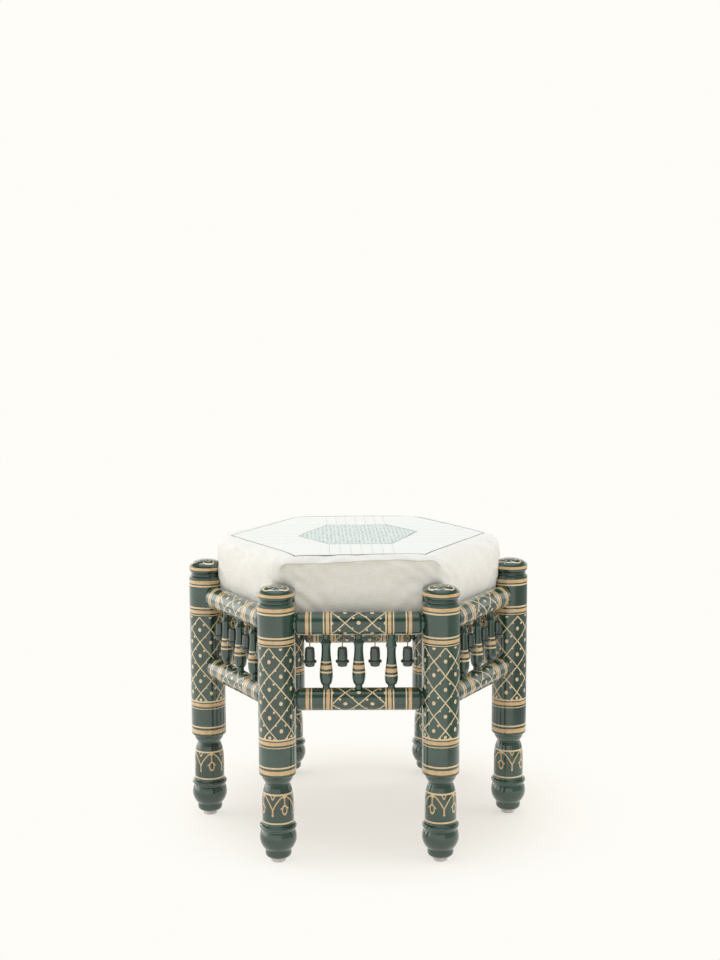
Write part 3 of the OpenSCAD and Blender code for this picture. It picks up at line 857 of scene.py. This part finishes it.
def foldHeight(wave, along, sector):      # wave is math.sin, or sine for sockets
    f = crumpled
    phase = sector * f["waveTurn"] + f["wavePhase"]
    return crest - f["panelTop"] + f["waver"] * wave(along * f["wave"] + phase)


def panelDistance(along, z, top, half):        # 0 on the panel's outline, under 0 inside it
    f = crumpled
    dx, dz = abs(along) - half + f["panelRound"], z - top + f["panelRound"]
    return math.hypot(max(dx, 0), max(dz, 0)) - f["panelRound"] + min(max(dx, dz), 0)


def panelDepth(x, y, z, along, sector):
    # each side reads as a panel with round corners, set a little behind the edge above it
    f = crumpled
    topFront = foldHeight(math.sin, x, f["frontSector"])
    inFront = smoothStep(*f["frontY"], y)
    d = panelDistance(along, z, foldHeight(math.sin, along, sector), f["panelHalf"])
    dFront = panelDistance(x - f["frontShift"], z, topFront, f["frontHalf"])
    soft = f["endsSoft"] * smoothStep(*f["endsDown"], topFront - z)
    deep = f["panelDip"] * smoothStep(0.001, -0.004, d) * (1 - inFront) \
        + f["frontDip"] * smoothStep(0.001 + soft / 4, -0.003 - soft, dFront) * inFront
    return smoothStep(*f["dipZ"], z) * deep


def crumple(piece):
    # panels, puckers at the staples and dips along the stitching, then clear of the legs
    c, f, e = cushion, crumpled, embroidery
    turns = [math.pi / 3 * i for i in range(6)]
    legs = [(stool["side"] * math.cos(a), stool["side"] * math.sin(a)) for a in turns]
    skew = math.radians(e["turn"])
    outer, inner = e["outer"] * mm, e["inner"] * mm
    normals = [v.normal.copy() for v in piece.data.vertices]
    for v, normal in zip(piece.data.vertices, normals):
        x, y, z = v.co
        if z < c["low"] + 0.0002 or (z < c["boardTop"] + 0.001 and hexDistance(x, y) < c["apothem"] - 0.004):
            continue                  # the turned-in edge and the pocket stay flat
        sector = math.floor(math.atan2(y, x) / (math.pi / 3))
        mid = sector * math.pi / 3 + math.pi / 6
        along = -x * math.sin(mid) + y * math.cos(mid)
        toLeg = min(math.hypot(x - a, y - b) for a, b in legs)
        onTop = smoothStep(0.86, 0.99, normal.z)
        wall = 1 - onTop
        move = 0.0
        if wall > 0:
            move -= wall * panelDepth(x, y, z, along, sector)
            fromStaple = (1 + math.cos(2 * math.pi * (along + f["stapleShift"]) / f["staplePitch"])) / 2
            move -= f["pucker"] * math.exp(-(z - c["low"]) / f["puckerHigh"]) * fromStaple
            corner = math.exp(-((toLeg - f["creaseAt"]) / f["creaseWide"]) ** 2)
            move += wall * corner * f["cornerCrease"] * math.sin(z * 330 + along * 260 + sector)
            spot = Vector([a * scale for a, scale in zip((x, y, z), f["lumpSize"])])
            move += wall * f["lump"] * noise.noise(spot + Vector((4.1, 0.3, 7.7)))
            move += wall * f["wrinkle"] * noise.noise(spot * f["wrinkleScale"])
        if onTop > 0:
            d = hexDistance(x * math.cos(skew) + y * math.sin(skew), y * math.cos(skew) - x * math.sin(skew))
            move += onTop * f["topWave"] * noise.noise(Vector((x * 11, y * 11, 2.0)))
            move -= onTop * f["outerGroove"] * math.exp(-((d - outer) / f["grooveWide"]) ** 2)
            move -= onTop * f["innerGroove"] * math.exp(-((d - inner) / f["grooveWide"]) ** 2)
            move += onTop * f["innerRise"] * smoothStep(inner, f["innerRiseFrom"], d)
        v.co += normal * move
        for a, b in legs:             # clear of the legs, up to the caps' domes
            dome = (v.co.z - stool["capRim"]) / (stool["legTop"] - stool["capRim"] + 0.0006)
            room = f["domeClear"] * math.sqrt(1 - min(max(dome, 0), 1) ** 2)
            away = math.hypot(v.co.x - a, v.co.y - b)
            if away < room:
                v.co.x = a + (v.co.x - a) * room / away
                v.co.y = b + (v.co.y - b) * room / away


def foldOver(w, place, tone):
    # the fold over the front panel, with painted shade: the panel's cloth darker and warmer, most just under
    # the fold, and a darker line in the fold's crease; gives the tone and the relief
    f, k = crumpled, cotton
    x, y, z = split(place)
    top = foldHeight(sine, x, f["frontSector"])
    dx, dz = abs(x - f["frontShift"]) - f["frontHalf"] + f["panelRound"], z - top + f["panelRound"]
    out = (reach(high(dx, 0.0), high(dz, 0.0)) - f["panelRound"] + low(high(dx, dz), 0.0)) / mm
    sway = (grain(w, place, 40.0, 2.0) - 0.5) * 1.6
    strength = ramp(y, *f["frontY"]) * ramp(z, *f["shadeZ"])
    ends = ramp(top - z, *f["endsDown"])
    soft = ends * (f["endsSoft"] / mm)
    panel = ramp(out, 0.3 + soft / 4, -0.6 - soft) * strength
    fold = within(abs(out + sway), k["fold"], 0.45) * strength * (1 - ends)
    # painted shade over the front panel, deepest within 13 mm under its outline
    tone = mixed(panel * (0.18 + 0.22 * ramp(out, -13.0, -1.0)), tone, k["paintedPanelShade"])
    # painted shade in the fold's crease
    tone = mixed(fold * 0.5, tone, k["paintedFoldShade"])
    sunk = ramp(out + sway, 0.6 + soft / 4, -1.4 - soft) * strength
    return tone, sunk * (-1 * k["panelRelief"]) - fold * k["foldRelief"]


def embroidered(w, place, tone, slub):
    # the top: a mint ground, a hexagon filled with aqua, and ruled lines; gives the tone and the relief
    e = embroidery
    sway = (grain(w, moved(place, (5, 2, 0)), 22.0, 1.0) - 0.5) * 2.2
    px, py, _ = split(turned(place, -math.radians(e["turn"])))
    ax, ay = abs(px) / mm, abs(py) / mm

    def hexagon(long, shift, slopes, wider):      # how far out, in mm
        c, qy = math.cos(math.pi / 6), (py + shift) / long
        one, two = abs(px * c + qy * slopes[0]) / mm - wider, abs(px * c - qy * slopes[1]) / mm + wider
        return high(abs(qy) / mm, one, two) + sway

    def ruledLines(across, step, half):
        return within(abs(part(across / mm / step + sway * 0.03)) * step, half)

    outer, inner = hexagon(*e["outerShape"]), hexagon(*e["innerShape"])
    onTop = split(place)[2] > 0.385
    inside = within(outer, e["outer"], 0.6) * onTop
    tone = mixed(inside, tone, mixed(ramp(slub, 0.35, 0.65), *e["ground"]))
    beyond = ramp(inner, e["inner"] + 0.6, e["inner"] + 2.1) * inside
    upward = ruledLines(px, e["upRuled"], e["upLine"]) * (ax < e["upReach"]) * (ay > ax * 1.732 - 6)
    sideways = ruledLines(py, e["acrossRuled"], e["acrossLine"]) * (ay < e["acrossReach"]) \
        * (ax > e["acrossFrom"])
    knots = ramp(grain(w, place, 330.0, 1.0), 0.36, 0.52)
    ruled = high(upward, sideways) * beyond * (0.45 + 0.55 * knots)
    tone = mixed(ruled, tone, e["ruledTone"])
    filled = within(inner, e["inner"], 0.5) * onTop
    column = part(px / mm / e["columns"] + (grain(w, place, 70.0, 1.0) - 0.5) * 0.9)
    patchy = grain(w, stretched(place, (1.0, 0.6, 1.0)), 400.0, 1.0)
    fleck = within(abs(column) * e["columns"], e["fleckHalf"], 0.7) * ramp(patchy, 0.44, 0.56)
    aqua = mixed(ramp(grain(w, place, 120.0, 3.0), 0.35, 0.65), *e["aqua"])
    tone = mixed(filled, tone, mixed(fleck * 0.8, aqua, e["stitch"]))
    rim = within(abs(inner - e["inner"]), e["innerLine"]) * onTop
    tone = mixed(rim * 0.9, tone, e["innerTone"])
    edge = within(abs(outer - e["outer"]), e["outerLine"], 0.2) * onTop
    tone = mixed(edge, tone, e["outerTone"])
    return tone, (ruled + rim + edge + filled * fleck) * e["relief"]


def paintCushion():
    k = cotton
    made, w, place = material("cottonCover")
    uv = w.node("UVMap", {"uv_map": "cloth"}, {})
    u, v, _ = split(uv)
    slub = (grain(w, stretched(uv, (0.07, 1, 1)), 900.0, 3.0)
            + grain(w, stretched(uv, (1, 0.07, 1)), 900.0, 3.0)) * 0.5
    weave = sine(u * (2 * math.pi / k["thread"])) * sine(v * (2 * math.pi / k["thread"]))
    cloud = ramp(grain(w, place, 14.0, 3.0), 0.4, 0.75)
    tone = mixed(cloud * 0.35, mixed(ramp(slub, 0.35, 0.65), *k["warp"]), k["cloud"])
    tone, sunk = foldOver(w, place, tone)
    tone, sewn = embroidered(w, place, tone, slub)
    height = (slub - 0.5) * k["slubRelief"] + weave * k["weaveRelief"] + sewn + sunk
    shaded(w, {"Base Color": tone, "Roughness": 0.86 + (slub - 0.5) * 0.2,
               "Normal": raised(w, height, 0.6)}, k["sheen"])
    return made


def closePocket(piece):               # the roof over the board, left open until the cushion is subdivided
    shell = bmesh.new()
    shell.from_mesh(piece.data)
    rim = [e for e in shell.edges if e.is_boundary]
    roof = bmesh.ops.contextual_create(shell, geom=rim)["faces"]
    roof[0].normal_update()
    if roof[0].normal.z > 0:
        roof[0].normal_flip()
    bmesh.ops.poke(shell, faces=roof)
    shell.to_mesh(piece.data)
    shell.free()


def addCushion():
    piece = buildCushion()
    inflate(piece)
    piece.vertex_groups.clear()
    makeActive(piece)
    finer = piece.modifiers.new("finer", "SUBSURF")
    finer.levels = finer.render_levels = 1
    bpy.ops.object.modifier_apply(modifier="finer")
    crumple(piece)
    closePocket(piece)
    bpy.ops.object.shade_smooth_by_angle(angle=math.radians(cushion["creaseAngle"]))
    piece.data.materials.append(paintCushion())
    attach(piece, "seat")
    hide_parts("seat_cover", "seat_foam")
    print("cushion finished:", len(piece.data.polygons), "faces")


addCamera()
addLight()
addFloor()
dressFrame()
addCushion()
